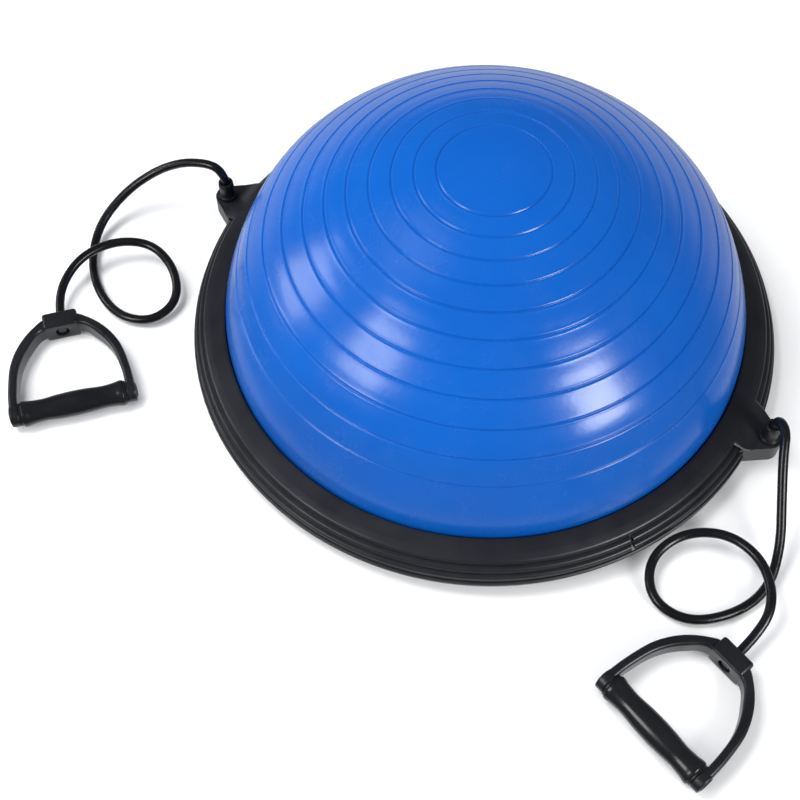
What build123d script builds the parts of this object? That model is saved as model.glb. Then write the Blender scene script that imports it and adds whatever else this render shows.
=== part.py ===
from build123d import *
import os
from math import cos, radians, sin, tan

# Balance dome trainer: an air-filled dome clamped to a round platform, with a resistance tube and a
# stirrup handle on each side. Millimetres, +Z up, X through the two cord lugs. The origin is the centre
# of the underside, on the floor.

# Platform and clamp ring
BASE_R = 290.0
RIM_FOOT_R = 285.0
RIM_BAND_Z = 18.0
PARTING_Z = 21.0
TRAY_WALL = 4.0
SKIN_BOTTOM = 5.0
SKIN_TOP = 8.0
RIM_BOTTOM = 2.0
CHANNEL_FLOOR = 6.5
CHANNEL_INNER_R = 262.0
RIB_TOP = 18.2
RIB_THICKNESS = 3.0
RADIAL_RIB_MIDDLE = 156.0
RADIAL_RIB_LENGTH = 210.0
RING_LIP_R = 255.8
RING_LIP_TOP = 46.5
RING_SIDE_R = 287.5
NOTCH_ANGLE = -34.5
NOTCH_WIDTH = 3.0

# Screws between tray and ring
SCREW_COUNT = 12
SCREW_PCD_R = 269.0
SCREW_START = 15.0
SCREW_R = 2.1
SCREW_HEAD_R = 4.2
SCREW_HEAD_HEIGHT = 2.6
SCREW_SEAT_Z = 6.0
SCREW_TIP_Z = 34.0
RING_BOSS_TOP = 39.6

# Feet
FOOT_COUNT = 12
FOOT_SPAN = 18.0
FOOT_INNER_R = 263.5
FOOT_OUTER_R = 277.0
FOOT_TOP = 3.5
CENTRE_FOOT_R = 38.0

# Dome
DOME_TOP = 250.5
DOME_WIDE_R = 254.0
DOME_WALL = 3.0
FLANGE_R = 264.0
FLANGE_BOTTOM = 21.3
FLANGE_TOP = 25.7
GROOVE_COUNT = 11
GROOVE_FIRST = 50.5
GROOVE_STEP = 20.0
GROOVE_GROWTH = 1.0405
GROOVE_R = 1.1
EDGE_BEAD_R = 0.9
EDGE_BEADS = (24.0, 15.0)
FLOOR_BOTTOM = 18.5
FLOOR_R = 261.5

# Valve, off the centre of the underside
VALVE_Y = -95.0
VALVE_WELL_R = 17.0
VALVE_BORE_R = 4.6
VALVE_NECK_R = 8.4
VALVE_NECK_BOTTOM = 11.0
PLUG_CLEARANCE = 0.06

# Cord lugs and tube anchors
LUG_X = 302.0
LUG_TOP = 33.0
LUG_BOTTOM = 11.0
LUG_TIP_R = 12.6
LUG_SIDE_ANGLE = 57.0
LUG_TOUCH_X = LUG_X + LUG_TIP_R * cos(radians(LUG_SIDE_ANGLE))
LUG_TOUCH_Y = LUG_TIP_R * sin(radians(LUG_SIDE_ANGLE))
LUG_ROOT_X = 272.0
LUG_ROOT_Y = LUG_TOUCH_Y + (LUG_TOUCH_X - LUG_ROOT_X) / tan(radians(LUG_SIDE_ANGLE))
LUG_WALL = 3.5
LUG_PLATE = 5.0
LUG_HOLE_R = 6.0
# Bottom, top and inner radius of each level: the lug's top laps over the clamp ring's lowest rib.
LUG_LEVELS = (
    (LUG_BOTTOM, PARTING_Z, 284.5),
    (PARTING_Z, 29.8, RING_SIDE_R + 0.3),
    (29.8, LUG_TOP, 284.0),
)
ANCHOR_SEAT_Z = LUG_TOP - LUG_PLATE
ANCHOR_TOP = 55.0
ANCHOR_FLANGE_R = 9.8
ANCHOR_WAIST_R = 6.8
ANCHOR_HEAD_R = 7.3

# Tubes
TUBE_D = 9.0
TUBE_START_Z = 50.0
TUBE_LEAD_Y = -15.0
ARC_SHARE = 0.45

# Handles, in each handle's own plane: X across the hand, Y from the bridge to the grip
HANDLE_AXIS_Z = 13.0
GRIP_Y = 107.0
EAR_X = 17.3
BRIDGE_FRONT = 3.0
BRIDGE_DEPTH = 20.5
BRIDGE_GAP = 0.6
ARM_BOTTOM = 3.0
BORE_R = 4.75
POCKET_R = 6.6
POCKET_Y = 10.0
ARM_INNER_X = 52.3
ARM_OUTER_X = 61.3
ARM_END_R = 10.8
SPINDLE_R = 4.0
SPINDLE_HALF = 57.8
CAP_R = 6.4
CAP_THICKNESS = 2.8
CORE_R = 7.5
CORE_HALF = 51.9
CORE_FLANGE_R = 11.4
CORE_FLANGE = 1.6
GRIP_END_R = 12.8
GRIP_WAIST_R = 11.5
GRIP_MIDDLE_R = 12.1
RUNNING_FIT = 0.08

# Each handle lies flat on the floor: where the tube enters its bridge, and the way from bridge to grip.
HANDLES = {
    "left": ((-378.8, -199.7), (0.6847, -0.7290)),
    "right": ((358.3, -203.1), (-0.3597, -0.9331)),
}

# The tubes' routes from the anchor's socket. Each has one loop that crosses over itself, then runs on along
# the bore of the handle's bridge to the stopper.
ROUTES = {
    "left": [
        (-302, 0, 50),
        (-302, 0, 62),
        (-311, 1, 72),
        (-327, -1, 72),
        (-353, -7, 64),
        (-380, -21, 48),
        (-402, -49, 30),
        (-411, -86, 13),
        (-396, -124, 5),
        (-366, -154, 5),
        (-329, -169, 6),
        (-295, -159, 8),
        (-284, -128, 12),
        (-305, -99, 18),
        (-341, -85, 23),
        (-375, -101, 26),
        (-395, -133, 26),
        (-398, -164, 19),
    ],
    "right": [
        (302, 0, 50),
        (302, 0, 61.5),
        (306.5, -4.5, 72.5),
        (314.5, -14, 73.5),
        (321, -32, 63),
        (335.5, -60, 42),
        (353, -94, 19),
        (359, -132, 5),
        (342, -168, 5),
        (307, -197, 6),
        (269, -193, 8),
        (252, -159, 12),
        (269, -122, 17),
        (307, -106, 24),
        (346, -119, 27),
        (369, -154, 25),
    ],
}
SIDES = {"left": -1, "right": 1}


def radial_plane(angle):
    """The upright plane through the Z axis at this angle: local X outward, local Y up."""
    turn = radians(angle)
    return Plane(origin=(0, 0, 0), x_dir=(cos(turn), sin(turn), 0), z_dir=(sin(turn), -cos(turn), 0))


def axis_plane(x, y):
    """The upright plane through a vertical axis at x, y."""
    return Plane(origin=(x, y, 0), x_dir=(1, 0, 0), z_dir=(0, -1, 0))


def handle_plane(side):
    """A handle's plane on the floor: local Y runs from the bridge to the grip."""
    (x, y), (along_x, along_y) = HANDLES[side]
    return Plane(origin=(x, y, 0), x_dir=(along_y, -along_x, 0), z_dir=(0, 0, 1))


def grip_section_plane(side):
    """The plane that holds the grip's axis, on the handle's X: local X along the axis, local Y up."""
    floor = handle_plane(side)
    centre = floor.from_local_coords((0, GRIP_Y, HANDLE_AXIS_Z))
    return Plane(origin=centre, x_dir=floor.x_dir, z_dir=floor.x_dir.cross(Vector(0, 0, 1)))


def bore_plane(side):
    """The plane that holds the tube's axis in the bridge: local X along the bore, local Y up."""
    floor = handle_plane(side)
    centre = floor.from_local_coords((0, 0, HANDLE_AXIS_Z))
    return Plane(origin=centre, x_dir=floor.y_dir, z_dir=floor.y_dir.cross(Vector(0, 0, 1)))


def lug_outline(side):
    """Draws the lug's plan as a closed line: a round tip round the cord hole, and sides that spread inward."""
    tip = ThreePointArc(
        (side * LUG_TOUCH_X, LUG_TOUCH_Y),
        (side * (LUG_X + LUG_TIP_R), 0),
        (side * LUG_TOUCH_X, -LUG_TOUCH_Y),
    )
    Polyline(tip @ 1, (side * LUG_ROOT_X, -LUG_ROOT_Y), (side * LUG_ROOT_X, LUG_ROOT_Y), tip @ 0)


os.makedirs("parts", exist_ok=True)

# ---------------------------------------------------------------- dome
with BuildPart() as dome_shell:
    with BuildSketch(Plane.XZ) as dome_section:
        with BuildLine() as dome_outline:
            dome_outer = Spline(
                (0, DOME_TOP),
                (90.2, 237.3),
                (150.0, 206.3),
                (207.7, 158.8),
                (224.7, 139.0),
                (237.2, 111.0),
                (247.0, 84.0),
                (DOME_WIDE_R, 59.0),
                (254.7, 46.0),
                tangents=((1, 0), (-0.02, -1)),
            )
            outer_neck = Line(dome_outer @ 1, (254.7, FLANGE_TOP))
            Polyline(
                outer_neck @ 1,
                (FLANGE_R, FLANGE_TOP),
                (FLANGE_R, FLANGE_BOTTOM),
                (251.3, FLANGE_BOTTOM),
                (251.5, 29.0),
            )
            inner_points = []
            for step in range(10):
                share = step / 9
                run = dome_outer % share
                outward = Vector(-run.Y, run.X)
                inner_points.append(dome_outer @ share - outward * DOME_WALL)
            dome_inner = Spline(*inner_points, tangents=((1, 0), (-0.02, -1)))
            Line(dome_inner @ 1, (251.5, 29.0))
            Line(dome_outer @ 0, dome_inner @ 0)
        make_face()
        groove_places = []
        travel = GROOVE_FIRST
        for groove in range(GROOVE_COUNT):
            place = dome_outer.position_at(travel, position_mode=PositionMode.LENGTH)
            groove_places.append((place.X, place.Y))
            travel += GROOVE_STEP * GROOVE_GROWTH**groove
        with Locations(*groove_places):
            Circle(GROOVE_R, mode=Mode.SUBTRACT)
        bead_places = []
        for back in EDGE_BEADS:
            place = dome_outer.position_at(dome_outer.length - back, position_mode=PositionMode.LENGTH)
            bead_places.append((place.X, place.Y))
        with Locations(*bead_places):
            Circle(EDGE_BEAD_R)
    revolve(axis=Axis.Z)
dome_shell.part.label = "dome_shell"
export_step(dome_shell.part, "parts/dome_shell.step")

with BuildPart() as dome_floor:
    with BuildSketch(Plane.XY.offset(FLOOR_BOTTOM)):
        Circle(FLOOR_R)
        with Locations((0, VALVE_Y)):
            Circle(VALVE_NECK_R, mode=Mode.SUBTRACT)
    extrude(amount=FLANGE_BOTTOM - FLOOR_BOTTOM)
dome_floor.part.label = "dome_floor"
export_step(dome_floor.part, "parts/dome_floor.step")

# ---------------------------------------------------------------- valve
with BuildPart() as valve_seat:
    with BuildSketch(axis_plane(0, VALVE_Y)):
        with BuildLine():
            Polyline(
                (VALVE_BORE_R, VALVE_NECK_BOTTOM),
                (VALVE_NECK_R, VALVE_NECK_BOTTOM),
                (VALVE_NECK_R, FLANGE_BOTTOM),
                (14.0, FLANGE_BOTTOM),
                (14.0, FLANGE_BOTTOM + 2.0),
                (VALVE_NECK_R, FLANGE_BOTTOM + 3.2),
                (VALVE_BORE_R, FLANGE_BOTTOM + 3.2),
                close=True,
            )
        make_face()
    revolve(axis=Axis((0, VALVE_Y, 0), (0, 0, 1)))
valve_seat.part.label = "valve_seat"
export_step(valve_seat.part, "parts/valve_seat.step")

with BuildPart() as valve_plug:
    with BuildSketch(axis_plane(0, VALVE_Y)):
        with BuildLine():
            shank_r = VALVE_BORE_R - PLUG_CLEARANCE
            Polyline(
                (0, 7.0),
                (6.6, 7.0),
                (7.4, 7.8),
                (7.4, 9.6),
                (6.9, VALVE_NECK_BOTTOM - 0.3),
                (shank_r, VALVE_NECK_BOTTOM - 0.3),
                (shank_r, 23.0),
                (3.2, 27.5),
                (0, 27.5),
                close=True,
            )
        make_face()
    revolve(axis=Axis((0, VALVE_Y, 0), (0, 0, 1)))
    with BuildSketch(Plane.XY.offset(7.0)):
        with Locations((0, VALVE_Y)):
            Rectangle(9.0, 1.6)
    extrude(amount=1.4, mode=Mode.SUBTRACT)
valve_plug.part.label = "valve_plug"
export_step(valve_plug.part, "parts/valve_plug.step")

# ---------------------------------------------------------------- platform
with BuildPart() as base_tray:
    with BuildSketch(Plane.XZ):
        with BuildLine():
            Polyline(
                (0, SKIN_BOTTOM),
                (256.0, SKIN_BOTTOM),
                (259.0, RIM_BOTTOM),
                (282.0, RIM_BOTTOM),
                (RIM_FOOT_R, 4.5),
                (BASE_R, RIM_BAND_Z),
                (BASE_R - 0.4, PARTING_Z - 0.9),
                (BASE_R - 1.4, PARTING_Z),
                (283.6, PARTING_Z),
                (283.6, 19.0),
                (BASE_R - TRAY_WALL, 17.0),
                (RIM_FOOT_R - TRAY_WALL, CHANNEL_FLOOR),
                (CHANNEL_INNER_R, CHANNEL_FLOOR),
                (CHANNEL_INNER_R, RIB_TOP),
                (CHANNEL_INNER_R - TRAY_WALL, RIB_TOP),
                (CHANNEL_INNER_R - TRAY_WALL, SKIN_TOP),
                (0, SKIN_TOP),
                close=True,
            )
        make_face()
    revolve(axis=Axis.Z)

    # Stiffening ribs on top of the skin carry the bladder.
    with BuildSketch(Plane.XY.offset(SKIN_TOP)):
        for rib_r in (205.0, 150.0, 55.0):
            Circle(rib_r)
            Circle(rib_r - RIB_THICKNESS, mode=Mode.SUBTRACT)
        with PolarLocations(RADIAL_RIB_MIDDLE, FOOT_COUNT, start_angle=SCREW_START):
            Rectangle(RADIAL_RIB_LENGTH, RIB_THICKNESS)
    extrude(amount=RIB_TOP - SKIN_TOP)

    # Grip rings and the collar of the centre foot on the underside.
    with BuildSketch(Plane.XY.offset(SKIN_BOTTOM)):
        for ring_r in (240.0, 215.0, 190.0, 165.0, 140.0, CENTRE_FOOT_R + 3.4):
            Circle(ring_r)
            Circle(ring_r - RIB_THICKNESS, mode=Mode.SUBTRACT)
    extrude(amount=-1.6)

    # Valve well through the skin.
    with BuildSketch(Plane.XY.offset(SKIN_BOTTOM)):
        with Locations((0, VALVE_Y)):
            Circle(VALVE_WELL_R + RIB_THICKNESS)
    extrude(amount=RIB_TOP - SKIN_BOTTOM)
    with BuildSketch(Plane.XY):
        with Locations((0, VALVE_Y)):
            Circle(VALVE_WELL_R)
    extrude(amount=RIB_TOP, mode=Mode.SUBTRACT)

    # Screw bosses in the channel.
    with BuildSketch(Plane.XY.offset(CHANNEL_FLOOR)):
        with PolarLocations(SCREW_PCD_R, SCREW_COUNT, start_angle=SCREW_START):
            Circle(6.0)
    extrude(amount=PARTING_Z - CHANNEL_FLOOR)
    with BuildSketch(Plane.XY):
        with PolarLocations(SCREW_PCD_R, SCREW_COUNT, start_angle=SCREW_START):
            Circle(SCREW_R + 0.25)
    extrude(amount=PARTING_Z, mode=Mode.SUBTRACT)
    with BuildSketch(Plane.XY):
        with PolarLocations(SCREW_PCD_R, SCREW_COUNT, start_angle=SCREW_START):
            Circle(SCREW_HEAD_R + 0.5)
    extrude(amount=SCREW_SEAT_Z, mode=Mode.SUBTRACT)

    # Pockets for the rubber feet.
    for foot in range(FOOT_COUNT):
        with BuildSketch(radial_plane(foot * 360 / FOOT_COUNT - FOOT_SPAN / 2 - 0.1)):
            with Locations(((FOOT_INNER_R + FOOT_OUTER_R) / 2, FOOT_TOP / 2)):
                Rectangle(FOOT_OUTER_R - FOOT_INNER_R + 0.4, FOOT_TOP)
        revolve(axis=Axis.Z, revolution_arc=FOOT_SPAN + 0.2, mode=Mode.SUBTRACT)

    # A hollow lug on each side, open below, with a plate on top.
    for side in SIDES.values():
        for low, high, clear_r in LUG_LEVELS:
            with BuildSketch(Plane.XY.offset(low)):
                with BuildLine():
                    lug_outline(side)
                make_face()
                Circle(clear_r, mode=Mode.SUBTRACT)
            extrude(amount=high - low)
        with BuildSketch(Plane.XY.offset(LUG_BOTTOM)):
            with BuildLine():
                lug_outline(side)
            make_face()
            offset(amount=-LUG_WALL)
            Circle(BASE_R + 0.5, mode=Mode.SUBTRACT)
        extrude(amount=ANCHOR_SEAT_Z - LUG_BOTTOM, mode=Mode.SUBTRACT)
        with BuildSketch(Plane.XY.offset(LUG_BOTTOM)):
            with Locations((side * LUG_X, 0)):
                Circle(LUG_HOLE_R)
        extrude(amount=LUG_TOP - LUG_BOTTOM, mode=Mode.SUBTRACT)
base_tray.part.label = "base_tray"
export_step(base_tray.part, "parts/base_tray.step")

# ---------------------------------------------------------------- clamp ring
with BuildPart() as clamp_ring:
    with BuildSketch(Plane.XZ):
        with BuildLine():
            skirt = Line((RING_LIP_R, FLANGE_TOP), (RING_LIP_R, RING_LIP_TOP - 2.0))
            lip = ThreePointArc(skirt @ 1, (RING_LIP_R + 0.6, RING_LIP_TOP - 0.6), (RING_LIP_R + 2.1, RING_LIP_TOP))
            top_band = Line(lip @ 1, (269.5, 43.6))
            upper_rib = ThreePointArc(top_band @ 1, (275.4, 41.4), (278.0, 37.4))
            upper_groove = Line(upper_rib @ 1, (276.8, 36.2))
            middle_rib = ThreePointArc(upper_groove @ 1, (281.9, 35.0), (283.4, 30.6))
            lower_groove = Line(middle_rib @ 1, (282.2, 29.4))
            lower_rib = ThreePointArc(lower_groove @ 1, (286.3, 28.2), (RING_SIDE_R, 23.4))
            Polyline(
                lower_rib @ 1,
                (286.8, PARTING_Z),
                (283.7, PARTING_Z),
                (283.4, 24.4),
                (279.0, 27.6),
                (277.4, 31.6),
                (273.6, 34.6),
                (270.6, 38.6),
                (265.0, 40.6),
                (RING_LIP_R + 4.0, 42.0),
                (RING_LIP_R + 4.0, FLANGE_TOP),
                skirt @ 0,
            )
        make_face()
    revolve(axis=Axis.Z)

    # Screw bosses inside, each with a blind pilot hole.
    with BuildSketch(Plane.XY.offset(PARTING_Z)):
        with PolarLocations(SCREW_PCD_R, SCREW_COUNT, start_angle=SCREW_START):
            Circle(4.6)
    extrude(amount=RING_BOSS_TOP - PARTING_Z)
    with BuildSketch(Plane.XY.offset(PARTING_Z)):
        with PolarLocations(SCREW_PCD_R, SCREW_COUNT, start_angle=SCREW_START):
            Circle(SCREW_R + 0.05)
    extrude(amount=SCREW_TIP_Z + 1.0 - PARTING_Z, mode=Mode.SUBTRACT)

    # A moulding notch crosses the ribs on each side.
    for angle in (NOTCH_ANGLE, NOTCH_ANGLE + 180.0):
        with BuildSketch(radial_plane(angle)):
            with BuildLine():
                Polyline((276.5, 38.2), (290.0, 38.2), (290.0, 23.0), (285.6, 23.0), close=True)
            make_face()
        extrude(amount=NOTCH_WIDTH / 2, both=True, mode=Mode.SUBTRACT)
clamp_ring.part.label = "clamp_ring"
export_step(clamp_ring.part, "parts/clamp_ring.step")

# ---------------------------------------------------------------- screws and feet
with BuildPart() as ring_screws:
    for radius, low, high in (
        (SCREW_HEAD_R, SCREW_SEAT_Z - SCREW_HEAD_HEIGHT, SCREW_SEAT_Z),
        (SCREW_R, SCREW_SEAT_Z, SCREW_TIP_Z),
    ):
        with BuildSketch(Plane.XY.offset(low)):
            with PolarLocations(SCREW_PCD_R, SCREW_COUNT, start_angle=SCREW_START):
                Circle(radius)
        extrude(amount=high - low)
    with BuildSketch(Plane.XY.offset(SCREW_SEAT_Z - SCREW_HEAD_HEIGHT)):
        with PolarLocations(SCREW_PCD_R, SCREW_COUNT, start_angle=SCREW_START):
            Rectangle(4.8, 0.9)
            Rectangle(0.9, 4.8)
    extrude(amount=1.3, mode=Mode.SUBTRACT)
ring_screws.part.label = "ring_screws"
export_step(ring_screws.part, "parts/ring_screws.step")

with BuildPart() as rubber_feet:
    for foot in range(FOOT_COUNT):
        with BuildSketch(radial_plane(foot * 360 / FOOT_COUNT - FOOT_SPAN / 2)):
            with Locations(((FOOT_INNER_R + FOOT_OUTER_R) / 2, FOOT_TOP / 2)):
                RectangleRounded(FOOT_OUTER_R - FOOT_INNER_R, FOOT_TOP, 0.6)
        revolve(axis=Axis.Z, revolution_arc=FOOT_SPAN)
rubber_feet.part.label = "rubber_feet"
export_step(rubber_feet.part, "parts/rubber_feet.step")

with BuildPart() as centre_foot:
    with BuildSketch(Plane.XY):
        Circle(CENTRE_FOOT_R)
    extrude(amount=SKIN_BOTTOM)
    with BuildSketch(Plane.XY):
        for groove_r in (30.0, 20.0):
            Circle(groove_r)
            Circle(groove_r - 2.0, mode=Mode.SUBTRACT)
    extrude(amount=1.2, mode=Mode.SUBTRACT)
centre_foot.part.label = "centre_foot"
export_step(centre_foot.part, "parts/centre_foot.step")

# ---------------------------------------------------------------- tube anchors on the lugs
for name, side in SIDES.items():
    with BuildPart() as tube_anchor:
        with BuildSketch(axis_plane(side * LUG_X, 0)):
            with BuildLine():
                stem = Polyline(
                    (SCREW_R + 0.1, ANCHOR_SEAT_Z),
                    (LUG_HOLE_R - 0.15, ANCHOR_SEAT_Z),
                    (LUG_HOLE_R - 0.15, LUG_TOP),
                    (ANCHOR_FLANGE_R, LUG_TOP),
                    (ANCHOR_FLANGE_R, LUG_TOP + 2.2),
                )
                flange_edge = ThreePointArc(
                    stem @ 1, (ANCHOR_FLANGE_R - 0.5, LUG_TOP + 3.4), (ANCHOR_FLANGE_R - 1.8, LUG_TOP + 3.9)
                )
                waist = Spline(
                    flange_edge @ 1,
                    (ANCHOR_WAIST_R, LUG_TOP + 10.0),
                    (ANCHOR_HEAD_R, ANCHOR_TOP - 5.0),
                    tangents=((-0.8, 0.6), (0.1, 1)),
                )
                head = ThreePointArc(
                    waist @ 1, (ANCHOR_HEAD_R + 0.1, ANCHOR_TOP - 1.6), (ANCHOR_HEAD_R - 1.6, ANCHOR_TOP)
                )
                Polyline(
                    head @ 1,
                    (TUBE_D / 2 + 0.2, ANCHOR_TOP),
                    (TUBE_D / 2 + 0.2, TUBE_START_Z),
                    (0, TUBE_START_Z),
                    (0, LUG_TOP + 10.0),
                    (SCREW_R + 0.1, LUG_TOP + 10.0),
                    stem @ 0,
                )
            make_face()
        revolve(axis=Axis((side * LUG_X, 0, 0), (0, 0, 1)))
    tube_anchor.part.label = f"{name}_tube_anchor"
    export_step(tube_anchor.part, f"parts/{name}_tube_anchor.step")

    with BuildPart() as anchor_screw:
        with BuildSketch(axis_plane(side * LUG_X, 0)):
            with BuildLine():
                Polyline(
                    (0, ANCHOR_SEAT_Z - 6.0),
                    (3.8, ANCHOR_SEAT_Z - 6.0),
                    (4.3, ANCHOR_SEAT_Z - 5.4),
                    (4.3, ANCHOR_SEAT_Z - 1.6),
                    (8.6, ANCHOR_SEAT_Z - 1.6),
                    (8.6, ANCHOR_SEAT_Z),
                    (SCREW_R, ANCHOR_SEAT_Z),
                    (SCREW_R, LUG_TOP + 8.0),
                    (0, LUG_TOP + 8.0),
                    close=True,
                )
            make_face()
        revolve(axis=Axis((side * LUG_X, 0, 0), (0, 0, 1)))
        with BuildSketch(Plane.XY.offset(ANCHOR_SEAT_Z - 6.0)):
            with Locations((side * LUG_X, 0)):
                Rectangle(5.0, 1.0)
                Rectangle(1.0, 5.0)
        extrude(amount=1.6, mode=Mode.SUBTRACT)
    anchor_screw.part.label = f"{name}_anchor_screw"
    export_step(anchor_screw.part, f"parts/{name}_anchor_screw.step")

# ---------------------------------------------------------------- tubes
for name, route in ROUTES.items():
    points = [Vector(*point) for point in route]
    for along in (TUBE_LEAD_Y, POCKET_Y):
        points.append(handle_plane(name).from_local_coords(Vector(0, along, HANDLE_AXIS_Z)))
    radii = []
    for before, here, after in zip(points, points[1:], points[2:]):
        turn = (here - before).get_angle(after - here)
        shorter = min((here - before).length, (after - here).length)
        radii.append(ARC_SHARE * shorter / tan(radians(turn / 2)))
    with BuildPart() as tube:
        with BuildLine() as tube_path:
            FilletPolyline(*points, radius=radii)
        with BuildSketch(Plane(origin=points[0], z_dir=(0, 0, 1))):
            Circle(TUBE_D / 2)
        sweep(path=tube_path.wires()[0])
    tube.part.label = f"{name}_tube"
    export_step(tube.part, f"parts/{name}_tube.step")
    path_length = tube_path.wires()[0].length
    expected = path_length * 3.14159265 * (TUBE_D / 2) ** 2
    print(f"{name} tube: length {path_length:.0f}, volume ratio {tube.part.volume / expected:.4f}")
    print("   radii", [round(radius) for radius in radii])

# ---------------------------------------------------------------- handles
for name in SIDES:
    floor_plane = handle_plane(name)
    grip_axis = Axis(grip_section_plane(name).origin, floor_plane.x_dir)
    bore_axis = Axis(bore_plane(name).origin, floor_plane.y_dir)

    with BuildPart() as yoke:
        with BuildSketch(floor_plane):
            with BuildLine():
                for hand in (-1, 1):
                    arm_outer = Spline(
                        (hand * 17.0, 7.3),
                        (hand * 27.0, 13.8),
                        (hand * 42.4, 29.5),
                        (hand * 53.8, 50.7),
                        (hand * 59.2, 76.0),
                        (hand * ARM_OUTER_X, 110.0),
                    )
                    arm_end = Polyline(
                        arm_outer @ 1,
                        (hand * ARM_OUTER_X, GRIP_Y + 14.0),
                        (hand * ARM_INNER_X, GRIP_Y + 14.0),
                        (hand * ARM_INNER_X, GRIP_Y - 12.5),
                    )
                    Spline(
                        arm_end @ 1,
                        (hand * 50.8, 79.0),
                        (hand * 46.0, 56.5),
                        (hand * 34.6, 35.6),
                        (hand * 19.0, BRIDGE_DEPTH),
                    )
                Line((-19.0, BRIDGE_DEPTH), (19.0, BRIDGE_DEPTH))
                Line((-17.0, 7.3), (17.0, 7.3))
            make_face()
        extrude(amount=2 * HANDLE_AXIS_Z)
        # Seen from the side the arms are slimmer than the bridge and have round ends.
        side_plane = Plane(origin=floor_plane.origin, x_dir=floor_plane.y_dir, z_dir=floor_plane.x_dir)
        with BuildSketch(side_plane):
            with Locations((GRIP_Y / 2, HANDLE_AXIS_Z)):
                Rectangle(GRIP_Y, 2 * (HANDLE_AXIS_Z - ARM_BOTTOM))
            with Locations((GRIP_Y, HANDLE_AXIS_Z)):
                Circle(ARM_END_R)
        extrude(amount=70.0, both=True, mode=Mode.INTERSECT)
        # The bridge block between the arms.
        with BuildSketch(floor_plane.offset(BRIDGE_GAP)):
            with Locations((0, (BRIDGE_FRONT + BRIDGE_DEPTH) / 2)):
                RectangleRounded(2 * EAR_X, BRIDGE_DEPTH - BRIDGE_FRONT, 2.5)
        extrude(amount=2 * (HANDLE_AXIS_Z - BRIDGE_GAP))
        # The tube's bore, and the pocket that holds its stopper.
        with BuildSketch(Plane(origin=bore_plane(name).origin, z_dir=floor_plane.y_dir)):
            Circle(BORE_R)
        extrude(amount=BRIDGE_DEPTH, both=True, mode=Mode.SUBTRACT)
        pocket_start = floor_plane.from_local_coords((0, POCKET_Y, HANDLE_AXIS_Z))
        with BuildSketch(Plane(origin=pocket_start, z_dir=floor_plane.y_dir)):
            Circle(POCKET_R)
        extrude(amount=BRIDGE_DEPTH, mode=Mode.SUBTRACT)
        # Spindle holes and cap recesses through the arm ends.
        with BuildSketch(Plane(origin=grip_axis.position, z_dir=floor_plane.x_dir)):
            Circle(SPINDLE_R + 0.05)
        extrude(amount=70.0, both=True, mode=Mode.SUBTRACT)
        for hand in (-1, 1):
            cap_seat = floor_plane.from_local_coords((hand * SPINDLE_HALF, GRIP_Y, HANDLE_AXIS_Z))
            with BuildSketch(Plane(origin=cap_seat, z_dir=floor_plane.x_dir * hand)):
                Circle(CAP_R + 0.1)
            extrude(amount=10.0, mode=Mode.SUBTRACT)
    yoke.part.label = f"{name}_yoke"
    export_step(yoke.part, f"parts/{name}_yoke.step")

    with BuildPart() as tube_stopper:
        with BuildSketch(bore_plane(name)):
            with BuildLine():
                Polyline(
                    (POCKET_Y, 0),
                    (POCKET_Y, POCKET_R - 0.3),
                    (POCKET_Y + 6.0, POCKET_R - 0.3),
                    (POCKET_Y + 8.5, 4.2),
                    (POCKET_Y + 8.5, 0),
                    close=True,
                )
            make_face()
        revolve(axis=bore_axis)
    tube_stopper.part.label = f"{name}_tube_stopper"
    export_step(tube_stopper.part, f"parts/{name}_tube_stopper.step")

    with BuildPart() as spindle:
        with BuildSketch(Plane(origin=grip_axis.position, z_dir=floor_plane.x_dir)):
            Circle(SPINDLE_R)
        extrude(amount=SPINDLE_HALF, both=True)
    spindle.part.label = f"{name}_spindle"
    export_step(spindle.part, f"parts/{name}_spindle.step")

    with BuildPart() as spindle_caps:
        for hand in (-1, 1):
            cap_seat = floor_plane.from_local_coords((hand * SPINDLE_HALF, GRIP_Y, HANDLE_AXIS_Z))
            with BuildSketch(Plane(origin=cap_seat, z_dir=floor_plane.x_dir * hand)):
                Circle(CAP_R)
            extrude(amount=CAP_THICKNESS)
            with BuildSketch(Plane(origin=cap_seat, z_dir=floor_plane.x_dir * hand).offset(CAP_THICKNESS)):
                Circle(CAP_R - 2.2)
            extrude(amount=-0.9, mode=Mode.SUBTRACT)
    spindle_caps.part.label = f"{name}_spindle_caps"
    export_step(spindle_caps.part, f"parts/{name}_spindle_caps.step")

    with BuildPart() as grip_core:
        with BuildSketch(grip_section_plane(name)):
            with BuildLine():
                bore_r = SPINDLE_R + RUNNING_FIT
                Polyline(
                    (-CORE_HALF, bore_r),
                    (-CORE_HALF, CORE_FLANGE_R),
                    (-CORE_HALF + CORE_FLANGE, CORE_FLANGE_R),
                    (-CORE_HALF + CORE_FLANGE, CORE_R),
                    (CORE_HALF - CORE_FLANGE, CORE_R),
                    (CORE_HALF - CORE_FLANGE, CORE_FLANGE_R),
                    (CORE_HALF, CORE_FLANGE_R),
                    (CORE_HALF, bore_r),
                    close=True,
                )
            make_face()
        revolve(axis=grip_axis)
    grip_core.part.label = f"{name}_grip_core"
    export_step(grip_core.part, f"parts/{name}_grip_core.step")

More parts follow.
